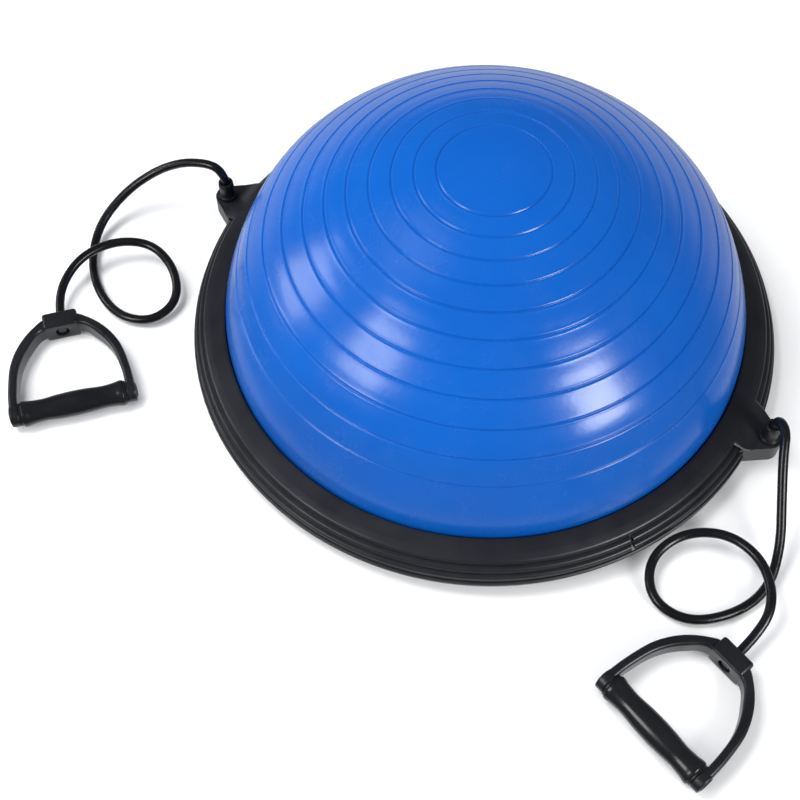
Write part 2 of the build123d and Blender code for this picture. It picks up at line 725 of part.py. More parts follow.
    with BuildPart() as grip_sleeve:
        with BuildSketch(grip_section_plane(name)):
            with BuildLine():
                sleeve_half = CORE_HALF - CORE_FLANGE - 0.1
                sleeve_bore = CORE_R + 0.05
                contour = Spline(
                    (-sleeve_half + 1.0, GRIP_END_R),
                    (-sleeve_half + 7.0, GRIP_END_R - 0.3),
                    (-30.0, GRIP_WAIST_R),
                    (0, GRIP_MIDDLE_R),
                    (30.0, GRIP_WAIST_R),
                    (sleeve_half - 7.0, GRIP_END_R - 0.3),
                    (sleeve_half - 1.0, GRIP_END_R),
                )
                Polyline(
                    contour @ 1,
                    (sleeve_half, GRIP_END_R - 1.0),
                    (sleeve_half, sleeve_bore),
                    (-sleeve_half, sleeve_bore),
                    (-sleeve_half, GRIP_END_R - 1.0),
                    contour @ 0,
                )
            make_face()
        revolve(axis=grip_axis)
    grip_sleeve.part.label = f"{name}_grip_sleeve"
    export_step(grip_sleeve.part, f"parts/{name}_grip_sleeve.step")
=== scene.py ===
"""Looks of the balance dome trainer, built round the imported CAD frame.

Sizes are in millimetres until they are multiplied by MM. Blender and the frame are in metres.
"""

import math

import bmesh
import bpy
from mathutils import Matrix, Vector


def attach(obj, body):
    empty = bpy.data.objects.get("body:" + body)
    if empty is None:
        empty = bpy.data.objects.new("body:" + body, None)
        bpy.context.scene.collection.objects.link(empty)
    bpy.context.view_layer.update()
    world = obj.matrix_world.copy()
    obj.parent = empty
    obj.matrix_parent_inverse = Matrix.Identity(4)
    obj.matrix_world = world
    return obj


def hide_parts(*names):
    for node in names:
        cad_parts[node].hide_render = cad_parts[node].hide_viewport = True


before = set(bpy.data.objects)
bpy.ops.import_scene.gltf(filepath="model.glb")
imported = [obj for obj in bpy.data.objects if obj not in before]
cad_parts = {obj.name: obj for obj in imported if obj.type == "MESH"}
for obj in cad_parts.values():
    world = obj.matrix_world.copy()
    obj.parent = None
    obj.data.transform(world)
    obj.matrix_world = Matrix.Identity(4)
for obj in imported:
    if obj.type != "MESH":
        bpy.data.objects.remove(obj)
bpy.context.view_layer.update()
MM = 0.001
scene = bpy.context.scene
SIDES = {"left": -1, "right": 1}
LUG_X = 302.0

# Each handle's place on the floor: where the tube enters the bridge, and the way from bridge to grip.
HANDLES = {
    "left": (Vector((-378.8, -199.7, 0)), Vector((0.6847, -0.7290, 0)).normalized()),
    "right": (Vector((358.3, -203.1, 0)), Vector((-0.3597, -0.9331, 0)).normalized()),
}
HANDLE_HEIGHT = 13.0
GRIP_DISTANCE = 107.0


# ---------------------------------------------------------------- camera
def make_camera():
    """The photograph's view: in front and a little to the right, looking well down."""
    data = bpy.data.cameras.new("camera")
    data.lens = 61.71
    data.sensor_width = 36.0
    data.clip_end = 40.0
    camera = bpy.data.objects.new("camera", data)
    scene.collection.objects.link(camera)
    right = Vector((0.8750, 0.4842, -0.0079)).normalized()
    back = Vector((0.2513, -0.4401, 0.8621)).normalized()
    up = back.cross(right)
    facing = Matrix((right, up, right.cross(up))).transposed().to_4x4()
    camera.matrix_world = Matrix.Translation((0.3081, -0.7103, 1.1664)) @ facing
    scene.camera = camera


make_camera()


# ---------------------------------------------------------------- materials
def tree(name):
    """A new material that has only its Principled shader: (material, nodes, links, shader)."""
    material = bpy.data.materials.new(name)
    material.use_nodes = True
    nodes, links = material.node_tree.nodes, material.node_tree.links
    return material, nodes, links, nodes["Principled BSDF"]


def noise(nodes, links, scale, detail=3.0, rough=0.5, stretch=(1, 1, 1)):
    """Noise over the object's own coordinates; gives its value socket."""
    place = nodes.new("ShaderNodeTexCoord")
    scaled = nodes.new("ShaderNodeMapping")
    scaled.inputs["Scale"].default_value = stretch
    texture = nodes.new("ShaderNodeTexNoise")
    texture.inputs["Scale"].default_value = scale
    texture.inputs["Detail"].default_value = detail
    texture.inputs["Roughness"].default_value = rough
    links.new(place.outputs["Object"], scaled.inputs["Vector"])
    links.new(scaled.outputs["Vector"], texture.inputs["Vector"])
    return texture.outputs["Fac"]


def ramp(nodes, links, value, low, high, start=0.3, end=0.7, interpolation="LINEAR"):
    """Maps a value from start..end to low..high."""
    mapped = nodes.new("ShaderNodeMapRange")
    mapped.interpolation_type = interpolation
    for socket, number in (("From Min", start), ("From Max", end), ("To Min", low), ("To Max", high)):
        mapped.inputs[socket].default_value = number
    links.new(value, mapped.inputs["Value"])
    return mapped.outputs["Result"]


def shades(nodes, links, value, dark, light, start=0.35, end=0.65):
    """Maps a value to a colour between dark and light."""
    band = nodes.new("ShaderNodeValToRGB")
    for element, position, colour in zip(band.color_ramp.elements, (start, end), (dark, light)):
        element.position = position
        element.color = (*colour, 1)
    links.new(value, band.inputs["Fac"])
    return band.outputs["Color"]


def bumps(nodes, links, shader, layers):
    """Chains bump layers (height socket, distance in metres, strength) into the shader's normal."""
    normal = None
    for height, distance, strength in layers:
        bump = nodes.new("ShaderNodeBump")
        bump.inputs["Distance"].default_value = distance
        bump.inputs["Strength"].default_value = strength
        links.new(height, bump.inputs["Height"])
        if normal is not None:
            links.new(normal, bump.inputs["Normal"])
        normal = bump.outputs["Normal"]
    links.new(normal, shader.inputs["Normal"])


def moulded_plastic(name, dark, light, roughness, grain, grain_depth, sheen=0.0):
    """Injection-moulded plastic or rubber: fine spark-eroded grain, faint cloudiness and handling marks."""
    material, nodes, links, shader = tree(name)
    cloud = noise(nodes, links, 22.0, 4.0)
    links.new(shades(nodes, links, cloud, dark, light), shader.inputs["Base Color"])
    smear = noise(nodes, links, 60.0, 5.0, 0.6)
    uneven = ramp(nodes, links, smear, roughness - 0.06, roughness + 0.06)
    links.new(uneven, shader.inputs["Roughness"])
    fine = noise(nodes, links, grain, 2.0)
    soft = noise(nodes, links, 90.0, 2.0)
    bumps(nodes, links, shader, [(soft, 0.0004, 0.25), (fine, grain_depth, 0.6)])
    shader.inputs["Specular IOR Level"].default_value = 0.5
    if sheen:
        shader.inputs["Sheen Weight"].default_value = sheen
        shader.inputs["Sheen Roughness"].default_value = 0.4
    return material


def glossy_vinyl():
    """Glossy blown PVC: even blue, slight orange peel, soft long-wave unevenness and a few handling marks."""
    material, nodes, links, shader = tree("dome_vinyl")
    cloud = noise(nodes, links, 7.0)
    blues = shades(nodes, links, cloud, (0.0004, 0.079, 0.385), (0.0005, 0.091, 0.425))
    links.new(blues, shader.inputs["Base Color"])
    smear = noise(nodes, links, 35.0, 6.0, 0.65)
    links.new(ramp(nodes, links, smear, 0.2, 0.3), shader.inputs["Roughness"])
    wave = noise(nodes, links, 9.0, 1.0)
    peel = noise(nodes, links, 260.0, 2.0)
    speck = noise(nodes, links, 900.0, 2.0)
    bumps(nodes, links, shader, [(wave, 0.004, 0.25), (peel, 0.0003, 0.25), (speck, 0.0001, 0.15)])
    shader.inputs["Specular IOR Level"].default_value = 0.5
    shader.inputs["Coat Weight"].default_value = 0.2
    shader.inputs["Coat Roughness"].default_value = 0.14
    return material


def turned_metal(name, colour, roughness):
    """Zinc-plated steel with fine turning marks."""
    material, nodes, links, shader = tree(name)
    cloud = noise(nodes, links, 120.0, 4.0)
    dark = tuple(0.85 * c for c in colour)
    links.new(shades(nodes, links, cloud, dark, colour), shader.inputs["Base Color"])
    links.new(ramp(nodes, links, cloud, roughness - 0.08, roughness + 0.08), shader.inputs["Roughness"])
    marks = noise(nodes, links, 1500.0, 2.0, stretch=(1, 1, 6))
    bumps(nodes, links, shader, [(marks, 0.00005, 0.4)])
    shader.inputs["Metallic"].default_value = 1.0
    return material


def floor_paint():
    """Matt off-white paint, faintly cloudy."""
    material, nodes, links, shader = tree("floor_paint")
    cloud = noise(nodes, links, 3.0, 4.0)
    whites = shades(nodes, links, cloud, (0.86, 0.865, 0.87), (0.9, 0.9, 0.9))
    links.new(whites, shader.inputs["Base Color"])
    shader.inputs["Roughness"].default_value = 0.55
    return material


# Darkest and lightest colour, roughness, the grain's scale and its depth in metres, and any sheen.
MOULDED = {
    "tray_plastic": ((0.011, 0.012, 0.015), (0.017, 0.018, 0.021), 0.42, 1500.0, 0.00012),
    "ring_plastic": ((0.009, 0.01, 0.013), (0.014, 0.015, 0.019), 0.36, 1400.0, 0.0001),
    "yoke_plastic": ((0.006, 0.007, 0.009), (0.011, 0.0115, 0.014), 0.33, 1600.0, 0.0001),
    "anchor_plastic": ((0.006, 0.0065, 0.008), (0.01, 0.0105, 0.012), 0.34, 1600.0, 0.00008),
    "grip_rubber": ((0.006, 0.0065, 0.008), (0.01, 0.0105, 0.012), 0.22, 1900.0, 0.00004),
    "tube_latex": ((0.004, 0.004, 0.005), (0.007, 0.007, 0.0085), 0.26, 700.0, 0.00008),
    "foot_rubber": ((0.03, 0.03, 0.031), (0.045, 0.045, 0.047), 0.7, 1100.0, 0.0002, 0.1),
    "valve_rubber": ((0.5, 0.51, 0.53), (0.58, 0.59, 0.6), 0.4, 900.0, 0.0001),
}
DOME_VINYL = glossy_vinyl()
FINISH = {name: moulded_plastic(name, *look) for name, look in MOULDED.items()}
ZINC = turned_metal("zinc_steel", (0.5, 0.5, 0.52), 0.35)


# ---------------------------------------------------------------- lines and meshes
def rounded(corners):
    """A line with round corners, from (across, up, fillet radius) at each corner."""
    points = []
    last = len(corners) - 1
    for i, (x, y, radius) in enumerate(corners):
        here = Vector((x, y))
        if radius == 0 or i in (0, last):
            points.append(here)
            continue
        before = Vector(corners[i - 1][:2])
        after = Vector(corners[i + 1][:2])
        into, out = (before - here).normalized(), (after - here).normalized()
        half = into.angle(out) / 2
        room = 0.49 * min((before - here).length, (after - here).length)
        reach = min(radius / math.tan(half), room)
        centre = here + (into + out).normalized() * (reach / math.cos(half))
        start, end = here + into * reach - centre, here + out * reach - centre
        sweep = start.angle_signed(end)
        steps = max(2, round(abs(math.degrees(sweep)) / 12))
        for step in range(steps + 1):
            spoke = start.copy()
            spoke.rotate(Matrix.Rotation(-sweep * step / steps, 2))
            points.append(centre + spoke)
    return points


def curve_through(points, start, end, pieces):
    """A smooth line through (x, y) points, with the given end directions and pieces between points."""
    points = [Vector(p) for p in points]
    spans = [(b - a).length for a, b in zip(points, points[1:])]
    slopes = [Vector(start).normalized()]
    for i in range(1, len(points) - 1):
        before = (points[i] - points[i - 1]) / spans[i - 1]
        after = (points[i + 1] - points[i]) / spans[i]
        slopes.append((before * spans[i] + after * spans[i - 1]) / (spans[i - 1] + spans[i]))
    slopes.append(Vector(end).normalized())
    line = []
    for i, span in enumerate(spans):
        for step in range(pieces):
            t = step / pieces
            line.append(
                points[i] * (2 * t**3 - 3 * t**2 + 1)
                + slopes[i] * span * (t**3 - 2 * t**2 + t)
                + points[i + 1] * (3 * t**2 - 2 * t**3)
                + slopes[i + 1] * span * (t**3 - t**2)
            )
    line.append(points[-1])
    return line


def travelled(line):
    """How far along a line each of its points is."""
    travel = [0.0]
    for a, b in zip(line, line[1:]):
        travel.append(travel[-1] + (b - a).length)
    return travel


def along_line(line, stops):
    """The point and the direction at each of the rising stops, which are distances along a line."""
    travel = travelled(line)
    found, j = [], 0
    for stop in stops:
        while j < len(travel) - 2 and travel[j + 1] < stop:
            j += 1
        share = (stop - travel[j]) / (travel[j + 1] - travel[j])
        found.append((line[j].lerp(line[j + 1], share), (line[j + 1] - line[j]).normalized()))
    return found


def rounded_rectangle(half_x, half_z, radius, per_corner=8, per_side=6):
    """Points round a rectangle with round corners, from the first corner on, counter-clockwise."""
    corners = ((1, 1, 0), (-1, 1, 90), (-1, -1, 180), (1, -1, 270))

    def on_corner(k, step):
        sign_x, sign_z, start = corners[k % 4]
        turn = math.radians(start + 90.0 * step / per_corner)
        centre = Vector((sign_x * (half_x - radius), sign_z * (half_z - radius)))
        return centre + radius * Vector((math.cos(turn), math.sin(turn)))

    points = []
    for k in range(4):
        points += [on_corner(k, step) for step in range(per_corner + 1)]
        last, goal = points[-1], on_corner(k + 1, 0)
        points += [last.lerp(goal, step / per_side) for step in range(1, per_side)]
    return points


def faces_round(copies, count, closed=True):
    """Faces of a turned mesh: copies of an outline of count points, the last joined to the first."""
    faces = []
    for k in range(copies):
        after = (k + 1) % copies
        for i in range(count if closed else count - 1):
            j = (i + 1) % count
            faces.append((k * count + i, after * count + i, after * count + j, k * count + j))
    return faces


def loft(rings, closed=True, ends=False):
    """Joins equal rings of points, one to the next: (points, faces). Ends closes the first and last."""
    verts = [point for ring in rings for point in ring]
    count = len(rings[0])
    faces = []
    for k in range(len(rings) - 1):
        for i in range(count if closed else count - 1):
            j = (i + 1) % count
            faces.append((k * count + i, k * count + j, (k + 1) * count + j, (k + 1) * count + i))
    if ends:
        faces.append(tuple(range(count)))
        faces.append(tuple((len(rings) - 1) * count + i for i in range(count)))
    return verts, faces


def smooth_object(name, verts, faces, material, angle=40.0):
    """Links a mesh, given in metres, with smooth shading that breaks only at edges sharper than angle."""
    mesh = bpy.data.meshes.new(name)
    mesh.from_pydata([tuple(v) for v in verts], [], faces)
    work = bmesh.new()
    work.from_mesh(mesh)
    bmesh.ops.remove_doubles(work, verts=work.verts, dist=1e-6)
    bmesh.ops.recalc_face_normals(work, faces=work.faces)
    limit = math.radians(angle)
    for face in work.faces:
        face.smooth = True
    for edge in work.edges:
        edge.smooth = edge.is_manifold and edge.calc_face_angle(0.0) < limit
    work.to_mesh(mesh)
    work.free()
    mesh.materials.append(material)
    piece = bpy.data.objects.new(name, mesh)
    scene.collection.objects.link(piece)
    return piece


def turned(name, outline, material, place=(0, 0, 0), axis=(0, 0, 1), segments=192, closed=True, angle=40.0):
    """A turned piece: outline is (radius, height) along the axis through place, which is in metres."""
    axis = Vector(axis).normalized()
    across = axis.orthogonal().normalized()
    side = axis.cross(across)
    verts = []
    for k in range(segments):
        turn = 2 * math.pi * k / segments
        out = across * math.cos(turn) + side * math.sin(turn)
        verts += [Vector(place) + (out * r + axis * h) * MM for r, h in outline]
    return smooth_object(name, verts, faces_round(segments, len(outline), closed), material, angle)


# ---------------------------------------------------------------- tubes
TUBE_D = 9 * MM
# Each tube's route from its anchor to its handle's bridge, and its real length in metres.
TUBES = {
    "left": (
        [
            (-302, 0, 50),
            (-302, 0, 62),
            (-311, 1, 72),
            (-327, -1, 72),
            (-353, -7, 64),
            (-380, -21, 48),
            (-402, -49, 30),
            (-411, -86, 13),
            (-396, -124, 5),
            (-366, -154, 5),
            (-329, -169, 6),
            (-295, -159, 8),
            (-284, -128, 12),
            (-305, -99, 18),
            (-341, -85, 23),
            (-375, -101, 26),
            (-395, -133, 26),
            (-398, -164, 19),
            (-389.07, -188.77, 13),
            (-371.95, -206.99, 13),
        ],
        0.594,
    ),
    "right": (
        [
            (302, 0, 50),
            (302, 0, 61.5),
            (306.5, -4.5, 72.5),
            (314.5, -14, 73.5),
            (321, -32, 63),
            (335.5, -60, 42),
            (353, -94, 19),
            (359, -132, 5),
            (342, -168, 5),
            (307, -197, 6),
            (269, -193, 8),
            (252, -159, 12),
            (269, -122, 17),
            (307, -106, 24),
            (346, -119, 27),
            (369, -154, 25),
            (363.7, -189.1, 13),
            (354.7, -212.43, 13),
        ],
        0.554,
    ),
}


def make_tube(side):
    """An elastic tube, lying in one loose loop between its anchor and its handle."""
    route, length = TUBES[side]
    data = bpy.data.curves.new(f"{side}_elastic_tube", "CURVE")
    data.dimensions = "3D"
    data.resolution_u = 16
    data.bevel_depth = TUBE_D / 2
    data.bevel_resolution = 10
    data.use_fill_caps = True
    spline = data.splines.new("NURBS")
    spline.points.add(len(route) - 1)
    for point, (x, y, z) in zip(spline.points, route):
        point.co = (x * MM, y * MM, z * MM, 1)
    spline.order_u = 3
    spline.use_endpoint_u = True
    data.materials.append(FINISH["tube_latex"])
    piece = bpy.data.objects.new(f"{side}_elastic_tube", data)
    scene.collection.objects.link(piece)
    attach(piece, "platform")
    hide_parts(f"{side}_tube")


for side in SIDES:
    make_tube(side)


# ---------------------------------------------------------------- dome
GROOVE_COUNT = 11
GROOVE_FIRST, GROOVE_STEP, GROOVE_GROWTH = 50.5, 20.0, 1.0405
GROOVE_DEPTH, GROOVE_WIDTH = 0.95, 0.8
LIP_HEIGHT, LIP_WIDTH, LIP_OFFSET = 0.16, 0.9, 2.1
BAND_SWELL = 0.22
# From the crown down to the clamp ring, without grooves.
DOME_PROFILE = [
    (0, 250.5),
    (49.3, 247.4),
    (90.2, 237.4),
    (129.7, 218.8),
    (169.4, 192.3),
    (207.7, 158.8),
    (224.0, 138.4),
    (237.4, 111.0),
    (247.4, 84.0),
    (253.7, 59.0),
    (254.8, 46.0),
]
# Where the skin goes on down behind the ring's lip and turns in.
DOME_HEM = [Vector((254.7, 40)), Vector((254.7, 27)), Vector((251.7, 27))]


def groove_places():
    """How far down the profile each groove lies; the bands between them widen towards the floor."""
    places = [GROOVE_FIRST]
    for i in range(GROOVE_COUNT - 1):
        places.append(places[-1] + GROOVE_STEP * GROOVE_GROWTH**i)
    return places


def groove_press(stop, grooves):
    """How far the skin stands out at a stop: pressed in at a groove, with soft lips, and swelling between."""
    nearest = min(abs(stop - groove) for groove in grooves)
    press = -GROOVE_DEPTH * math.exp(-((nearest / GROOVE_WIDTH) ** 2))
    press += LIP_HEIGHT * math.exp(-(((nearest - LIP_OFFSET) / LIP_WIDTH) ** 2))
    before = max((groove for groove in grooves if groove <= stop), default=None)
    after = min((groove for groove in grooves if groove > stop), default=None)
    if before is not None and after is not None:
        press += BAND_SWELL * math.sin(math.pi * (stop - before) / (after - before))
    return press


def dome_line():
    """The dome's profile with its grooves, from the crown to under the clamp ring's lip."""
    base = curve_through(DOME_PROFILE, (1, 0), (-0.02, -1), 24)
    length = travelled(base)[-1]
    grooves = groove_places()
    stops = set()
    edges = [0.0, *grooves, length]
    for a, b in zip(edges, edges[1:]):
        stops.update(a + (b - a) * k / 8 for k in range(9))
    for groove in grooves:
        stops.update(groove + offset * 0.35 for offset in range(-10, 11))
    stops = sorted(stop for stop in stops if stop <= length)
    line = []
    for stop, (point, run) in zip(stops, along_line(base, stops)):
        line.append(point + Vector((-run.y, run.x)) * groove_press(stop, grooves))
    line[0].x = 0.0
    return line + DOME_HEM


dome_skin = turned("dome_skin", dome_line(), DOME_VINYL, segments=384, closed=False, angle=70.0)
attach(dome_skin, "platform")
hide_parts("dome_shell")


# ---------------------------------------------------------------- clamp ring
RING_SEGMENTS = 384
RIB_RADIUS = 287.0
NOTCH_ANGLES = (-34.5, 145.5)
NOTCH_WIDTH = 3.0
NOTCH_BOTTOM, NOTCH_TOP = 22.8, 38.4
# From the lip inside, over the top band and down the three ribs, and back up the hollow underside.
RING_CORNERS = [
    (255.8, 30.0, 0),
    (255.8, 46.6, 1.6),
    (259.2, 46.2, 2.5),
    (270.0, 43.7, 4.0),
    (277.8, 41.0, 4.2),
    (278.3, 36.6, 0.9),
    (276.9, 35.9, 0.6),
    (277.6, 35.3, 0.6),
    (283.0, 34.8, 3.2),
    (283.6, 29.9, 0.9),
    (282.2, 29.2, 0.6),
    (282.9, 28.6, 0.6),
    (287.2, 28.0, 2.6),
    (287.7, 22.4, 0.8),
    (286.6, 21.1, 0.4),
    (283.7, 21.1, 0),
    (279.0, 27.6, 0),
    (273.6, 34.6, 0),
    (259.8, 42.0, 0),
    (259.8, 30.0, 0),
]


def ring_stops():
    """The angles at which the ring's outline stands, in degrees, each with whether the notch cuts it."""
    half = math.degrees(NOTCH_WIDTH / 2 / RIB_RADIUS)
    stops = []
    for step in range(RING_SEGMENTS):
        angle = 360.0 * step / RING_SEGMENTS
        if all(abs((angle - notch + 180.0) % 360.0 - 180.0) > 0.5 for notch in NOTCH_ANGLES):
            stops.append((angle, False))
    for notch in NOTCH_ANGLES:
        for margin, cut in ((0.04, False), (0.0, True)):
            stops.append(((notch - half - margin) % 360.0, cut))
            stops.append(((notch + half + margin) % 360.0, cut))
    return sorted(stops)


def notched_ring():
    """The ring, turned, with a narrow notch across its ribs at each moulding seam."""
    outline = rounded(RING_CORNERS)
    stops = ring_stops()
    verts = []
    for angle, cut in stops:
        turn = math.radians(angle)
        for r, h in outline:
            if cut and NOTCH_BOTTOM < h < NOTCH_TOP:
                r = min(r, 276.5 + (38.2 - h) * 0.6)
            verts.append(Vector((r * math.cos(turn), r * math.sin(turn), h)) * MM)
    faces = faces_round(len(stops), len(outline))
    return smooth_object("rim_ring", verts, faces, FINISH["ring_plastic"], 50.0)


rim_ring = notched_ring()
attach(rim_ring, "platform")
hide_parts("clamp_ring")


# ---------------------------------------------------------------- tube anchors
# From the socket's floor over the collar's rim, down the waist and foot, and up the screw's bore.
ANCHOR_CORNERS = [
    (0, 43.0, 0),
    (0, 50.0, 0),
    (4.7, 50.0, 0.3),
    (4.7, 54.9, 0.7),
    (7.4, 55.2, 1.1),
    (8.1, 49.6, 0.8),
    (7.2, 48.4, 0.8),
    (7.0, 43.0, 5.0),
    (8.0, 36.9, 1.0),
    (9.7, 36.6, 0.9),
    (9.8, 33.05, 0.3),
    (5.85, 33.05, 0),
    (5.85, 28.0, 0),
    (2.2, 28.0, 0),
    (2.2, 43.0, 0),
]
for side, hand in SIDES.items():
    anchor = turned(
        f"{side}_anchor_sleeve",
        rounded(ANCHOR_CORNERS),
        FINISH["anchor_plastic"],
        place=(hand * LUG_X * MM, 0, 0),
        segments=96,
    )
    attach(anchor, "platform")
    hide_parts(f"{side}_tube_anchor")


# ---------------------------------------------------------------- lug roots
# Radius and height of the web's ridge, from the ring's top band down to the lug.
ROOT_SLOPE = [
    (271.0, 43.1),
    (275.0, 42.0),
    (279.0, 40.0),
    (283.0, 37.6),
    (287.0, 35.4),
    (290.5, 33.9),
    (294.0, 33.2),
    (298.0, 32.6),
]
ROOT_HALF_WIDTH = 26.0
ROOT_COLUMNS = 40
ROOT_THICKNESS = 5.0


def lug_root(side):
    """The web that carries the ring's top band out over the ribs onto the lug, rolled off at both flanks."""
    rings = []
    for r, h in ROOT_SLOPE:
        half = ROOT_HALF_WIDTH - 0.85 * max(0.0, r - 288.0) + 0.25 * max(0.0, 285.0 - r)
        ring = []
        for k in range(ROOT_COLUMNS + 1):
            share = 2.0 * k / ROOT_COLUMNS - 1.0
            across = half * share
            roll = max(0.0, abs(share) - 0.9) / 0.1
            drop = 1.2 * roll * roll * min(1.0, (298.0 - r) / 10.0)
            round_ring = math.sqrt(r * r - across * across)
            reach = round_ring if r < 292.0 else r - across * across / 900.0
            ring.append(Vector((SIDES[side] * reach, across, h - drop)) * MM)
        rings.append(ring)
    verts, faces = loft(rings, closed=False)
    root = smooth_object(f"{side}_lug_root", verts, faces, FINISH["ring_plastic"], 60.0)
    thickness = root.modifiers.new("thickness", "SOLIDIFY")
    thickness.thickness = ROOT_THICKNESS * MM
    thickness.offset = -1.0
    return root


for side in SIDES:
    root = lug_root(side)
    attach(root, "platform")


# ---------------------------------------------------------------- handles
# A handle is drawn in its own frame: X across the hand, Y from the bridge to the grip, Z up.
BRIDGE_HALF_X, BRIDGE_HALF_Z, BRIDGE_CORNER = 17.3, 12.4, 3.0
BRIDGE_FRONT, BRIDGE_BACK, BRIDGE_EDGE = 3.0, 20.5, 2.2
BORE_RADIUS, POCKET_RADIUS, POCKET_Y = 4.75, 6.6, 10.0
ARM_OUTER = [
    (14.0, 6.6),
    (17.0, 7.3),
    (27.0, 13.8),
    (42.4, 29.5),
    (53.8, 50.7),
    (59.2, 76.0),
    (61.2, 100.0),
    (61.3, 108.0),
]
ARM_INNER = [
    (14.0, 19.6),
    (19.0, 20.5),
    (34.6, 35.6),
    (46.0, 56.5),
    (50.8, 79.0),
    (52.3, 94.5),
    (52.35, 108.0),
]
ARM_HALF_Z = 10.0
ARM_RINGS = 60
# Radius and distance from the handle's middle, along the grip's axis.
BOSS_CORNERS = [
    (4.05, 52.35, 0),
    (10.8, 52.35, 1.2),
    (10.8, 61.3, 1.8),
    (7.6, 61.5, 0.5),
    (7.5, 62.0, 0.3),
    (6.6, 62.0, 0.3),
    (6.5, 57.8, 0),
    (4.05, 57.8, 0),
]
CAP_CORNERS = [
    (0, 57.85, 0),
    (6.35, 57.85, 0.2),
    (6.35, 60.6, 0.9),
    (4.6, 61.0, 0.5),
    (3.6, 60.0, 0.6),
    (0, 59.9, 0),
]
# Distance from the grip's middle, and radius.
GRIP_HALF = [
    (0, 12.5),
    (14.0, 12.1),
    (31.0, 11.0),
    (42.0, 11.9),
    (47.6, 12.75),
    (49.2, 12.5),
    (50.1, 11.4),
]
GRIP_END = (7.55, 50.2)


def handle_matrix(side):
    """Places a handle's own frame, in metres."""
    origin, along = HANDLES[side]
    across = Vector((along.y, -along.x, 0))
    turn = Matrix((across, along, Vector((0, 0, 1)))).transposed().to_4x4()
    return Matrix.Translation(origin * MM) @ turn


def bridge_block():
    """The bridge between the arms: round edges, a countersunk bore in front, the stopper's pocket behind."""

    def circle(radius, along):
        square = rounded_rectangle(BRIDGE_HALF_X, BRIDGE_HALF_Z, BRIDGE_CORNER)
        spokes = [point.normalized() * radius for point in square]
        return [Vector((spoke.x, along, HANDLE_HEIGHT + spoke.y)) for spoke in spokes]

    def outline(inset, along):
        corner = BRIDGE_CORNER - 0.6 * inset
        square = rounded_rectangle(BRIDGE_HALF_X - inset, BRIDGE_HALF_Z - inset, corner)
        return [Vector((point.x, along, HANDLE_HEIGHT + point.y)) for point in square]

    turns = [math.radians(15.0 * step) for step in range(7)]
    edge = [(BRIDGE_EDGE * (1 - math.sin(turn)), BRIDGE_EDGE * (1 - math.cos(turn))) for turn in turns]
    rings = [
        circle(BORE_RADIUS, POCKET_Y),
        circle(BORE_RADIUS, BRIDGE_FRONT + 1.2),
        circle(4.95, BRIDGE_FRONT + 0.6),
        circle(5.5, BRIDGE_FRONT + 0.1),
        circle(5.9, BRIDGE_FRONT),
    ]
    rings += [outline(inset, BRIDGE_FRONT + depth) for inset, depth in edge]
    rings += [outline(inset, BRIDGE_BACK - depth) for inset, depth in reversed(edge)]
    rings += [
        circle(7.3, BRIDGE_BACK),
        circle(6.8, BRIDGE_BACK - 0.2),
        circle(POCKET_RADIUS, BRIDGE_BACK - 0.7),
        circle(POCKET_RADIUS, POCKET_Y),
        circle(BORE_RADIUS, POCKET_Y),
    ]
    return loft(rings)


def arm(hand):
    """One arm: a soft-edged bar that sweeps from the bridge's side out and forward to the grip's end."""

    def evenly(corners):
        line = curve_through(corners, (0.9, 0.25), (0, 1), 10)
        length = travelled(line)[-1]
        stops = [length * k / (ARM_RINGS - 1) for k in range(ARM_RINGS)]
        return [point for point, run in along_line(line, stops)]

    rings = []
    for a, b in zip(evenly(ARM_OUTER), evenly(ARM_INNER)):
        centre, half = (a + b) / 2, (a - b) / 2
        width = half.length
        ring = []
        for point in rounded_rectangle(width, ARM_HALF_Z, min(3.4, 0.8 * width)):
            place = centre + half / width * point.x
            ring.append(Vector((hand * place.x, place.y, HANDLE_HEIGHT + point.y)))
        rings.append(ring)
    return loft(rings, ends=True)


def arm_boss(hand, segments=64):
    """The round end of an arm, with a raised rim round the cap's recess."""
    outline = rounded(BOSS_CORNERS)
    verts = []
    for k in range(segments):
        turn = 2 * math.pi * k / segments
        for r, h in outline:
            y, z = GRIP_DISTANCE + r * math.cos(turn), HANDLE_HEIGHT + r * math.sin(turn)
            verts.append(Vector((hand * h, y, z)))
    return verts, faces_round(segments, len(outline))


def stirrup_frame(side):
    """The handle's frame: the bridge, and an arm with its boss on each side."""
    matrix = handle_matrix(side)
    verts, faces = [], []
    for part_verts, part_faces in (bridge_block(), arm(-1), arm(1), arm_boss(-1), arm_boss(1)):
        start = len(verts)
        verts += [matrix @ (point * MM) for point in part_verts]
        faces += [tuple(start + i for i in face) for face in part_faces]
    return smooth_object(f"{side}_stirrup", verts, faces, FINISH["yoke_plastic"], 38.0)


def grip_line():
    """The grip's moulded outside: flared ends, two waists and a swell in the middle."""
    half = [(p.y, p.x) for p in curve_through(GRIP_HALF, (1, 0), (0.1, -1), 10)] + [GRIP_END]
    return [(r, -h) for r, h in reversed(half[1:])] + half


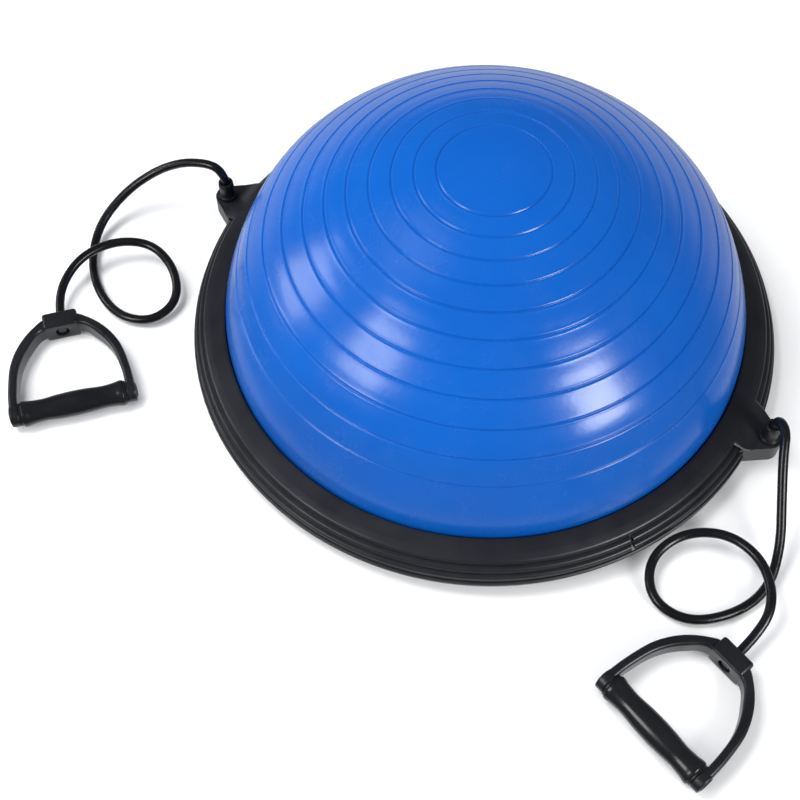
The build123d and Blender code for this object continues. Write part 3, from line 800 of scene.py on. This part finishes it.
for side in SIDES:
    matrix = handle_matrix(side)
    axis = matrix.to_3x3() @ Vector((1, 0, 0))
    centre = matrix @ (Vector((0, GRIP_DISTANCE, HANDLE_HEIGHT)) * MM)
    stirrup = stirrup_frame(side)
    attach(stirrup, "platform")
    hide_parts(f"{side}_yoke")
    grip = turned(
        f"{side}_grip", grip_line(), FINISH["grip_rubber"], place=centre, axis=axis, segments=128, angle=45.0
    )
    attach(grip, f"{side}_grip")
    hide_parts(f"{side}_grip_sleeve")
    for hand, end in ((-1, "near"), (1, "far")):
        cap = turned(
            f"{side}_{end}_cap",
            rounded(CAP_CORNERS),
            FINISH["anchor_plastic"],
            place=centre,
            axis=axis * hand,
            segments=64,
            closed=False,
        )
        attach(cap, "platform")
        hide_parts(f"{side}_spindle_caps")


# ---------------------------------------------------------------- carried-over CAD nodes
NODE_LOOKS = {
    "base_tray": FINISH["tray_plastic"],
    "dome_floor": DOME_VINYL,
    "valve_seat": FINISH["valve_rubber"],
    "valve_plug": FINISH["valve_rubber"],
    "ring_screws": ZINC,
    "rubber_feet": FINISH["foot_rubber"],
    "centre_foot": FINISH["foot_rubber"],
}
for side in SIDES:
    NODE_LOOKS[f"{side}_anchor_screw"] = ZINC
    NODE_LOOKS[f"{side}_tube_stopper"] = FINISH["anchor_plastic"]
    NODE_LOOKS[f"{side}_spindle"] = ZINC
    NODE_LOOKS[f"{side}_grip_core"] = FINISH["anchor_plastic"]
for name, material in NODE_LOOKS.items():
    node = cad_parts[name]
    node.data.materials.clear()
    node.data.materials.append(material)


# ---------------------------------------------------------------- stage and lights
FLOOR_HALF = 6.0
SUBJECT = (0, 0, 0.12)
EVEN_SKY = 0.52
DIM_STUDIO = 0.07


def make_floor():
    """A pale floor that is flat under the trainer, and that gloss doesn't mirror."""
    corners = [(x * FLOOR_HALF, y * FLOOR_HALF, 0) for x, y in ((-1, -1), (1, -1), (1, 1), (-1, 1))]
    floor = smooth_object("floor", corners, [(0, 1, 2, 3)], floor_paint())
    floor.visible_glossy = False


def softbox(name, place, width, height, watts, reflected=True):
    """A rectangular softbox at place, facing the trainer; a bounced fill is not reflected by gloss."""
    data = bpy.data.lights.new(name, "AREA")
    data.shape = "RECTANGLE"
    data.size, data.size_y = width, height
    data.energy = watts
    light = bpy.data.objects.new(name, data)
    scene.collection.objects.link(light)
    facing = (Vector(SUBJECT) - Vector(place)).to_track_quat("-Z", "Y").to_matrix().to_4x4()
    light.matrix_world = Matrix.Translation(place) @ facing
    light.visible_glossy = reflected


def studio_world():
    """Gloss mirrors a dim studio, pale behind and underfoot; all else is lit by an even pale sky."""
    studio = bpy.data.worlds.new("studio")
    studio.use_nodes = True
    nodes, links = studio.node_tree.nodes, studio.node_tree.links
    place = nodes.new("ShaderNodeTexCoord")
    split = nodes.new("ShaderNodeSeparateXYZ")
    links.new(place.outputs["Generated"], split.inputs["Vector"])
    away = nodes.new("ShaderNodeVectorMath")
    away.operation = "DOT_PRODUCT"
    away.inputs[1].default_value = (-0.4, 0.91, 0.0)
    links.new(place.outputs["Generated"], away.inputs[0])

    def band(value, level, dark, bright):
        return ramp(nodes, links, value, 0.0, level, dark, bright, "SMOOTHSTEP")

    def joined(operation, first, second):
        step = nodes.new("ShaderNodeMath")
        step.operation = operation
        links.new(first, step.inputs[0])
        links.new(second, step.inputs[1])
        return step.outputs["Value"]

    under = band(split.outputs["Z"], 0.9, -0.5, -0.8)
    beyond = band(away.outputs["Value"], 0.62, 0.2, 0.6)
    low = band(split.outputs["Z"], 1.0, 0.2, -0.1)
    level = nodes.new("ShaderNodeMath")
    level.operation = "ADD"
    level.inputs[1].default_value = DIM_STUDIO
    links.new(joined("MAXIMUM", under, joined("MULTIPLY", beyond, low)), level.inputs[0])

    # The mix's inputs are its factor, 0, and its two numbers, 2 and 3.
    ray = nodes.new("ShaderNodeLightPath")
    chosen = nodes.new("ShaderNodeMix")
    chosen.data_type = "FLOAT"
    chosen.inputs[2].default_value = EVEN_SKY
    links.new(ray.outputs["Is Glossy Ray"], chosen.inputs[0])
    links.new(level.outputs["Value"], chosen.inputs[3])
    background = nodes["Background"]
    background.inputs["Color"].default_value = (0.95, 0.97, 1.0, 1)
    links.new(chosen.outputs[0], background.inputs["Strength"])
    return studio


make_floor()
softbox("front_left_softbox", (-1.02, -1.89, 1.53), 0.8, 1.1, 20)
softbox("left_softbox", (-2.33, -0.8, 0.94), 0.9, 0.9, 11)
softbox("right_softbox", (2.25, -0.65, 1.17), 0.75, 1.25, 41)
softbox("key_bounce", (-1.1, -0.3, 2.1), 1.1, 1.1, 46, reflected=False)
scene.world = studio_world()
scene.view_settings.view_transform = "Standard"
